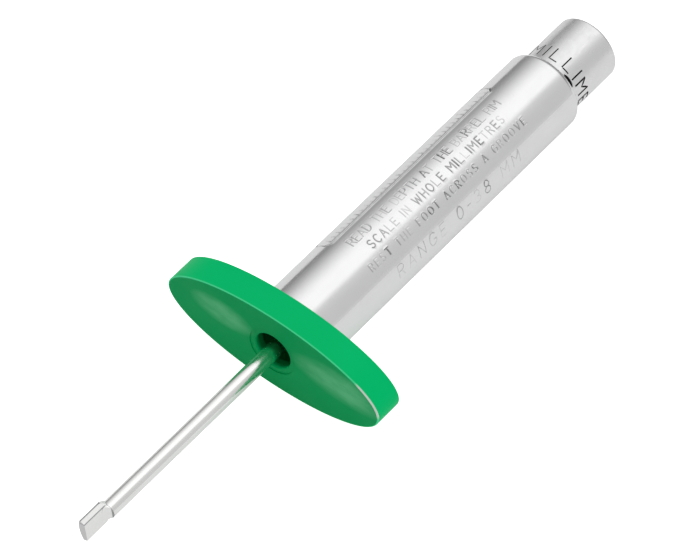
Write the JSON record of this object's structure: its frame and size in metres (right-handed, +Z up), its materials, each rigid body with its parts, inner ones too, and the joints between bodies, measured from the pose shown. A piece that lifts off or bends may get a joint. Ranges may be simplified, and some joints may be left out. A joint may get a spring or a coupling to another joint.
{
  "type": "tire tread depth gauge",
  "caption": "Pencil-type tread depth gauge: round metal barrel, oval plastic foot, sliding millimetre sleeve and a thin steel probe with a chisel tip.",
  "frame": {"origin": "centre of the foot's datum face, on the tool's axis", "axes": "+X along the tool from the foot towards the sleeve's free end, +Y along the long way of the oval foot, +Z up with the tool lying on its side"},
  "size_m": [0.1078, 0.0354, 0.0136],
  "materials": {
    "foot_plastic": "smooth moulded green plastic",
    "bush_brass": "turned brass",
    "barrel_plating": "satin bright plating",
    "sleeve_plating": "satin bright plating",
    "hub_brass": "turned brass",
    "spring_steel": "oiled spring steel",
    "probe_steel": "bright drawn steel"
  },
  "bodies": {
    "barrel": {"barrel": "barrel_plating", "foot": "foot_plastic", "probe_guide": "bush_brass"},
    "friction_ring": {"friction_ring": "spring_steel"},
    "plunger": {"indicator_sleeve": "sleeve_plating", "sleeve_plug": "sleeve_plating", "probe_hub": "hub_brass", "probe_rod": "probe_steel", "lock_washer": "spring_steel", "lock_nut": "probe_steel"}
  },
  "joints": [
    {"name": "sleeve_slide", "type": "slide", "parent": "barrel", "child": "friction_ring", "axis": [1, 0, 0], "range_m": [0, 0.038]},
    {"name": "sleeve_spin", "type": "hinge", "parent": "friction_ring", "child": "plunger", "pos_m": [0.01575, 0, 0], "axis": [1, 0, 0], "continuous": true}
  ]
}
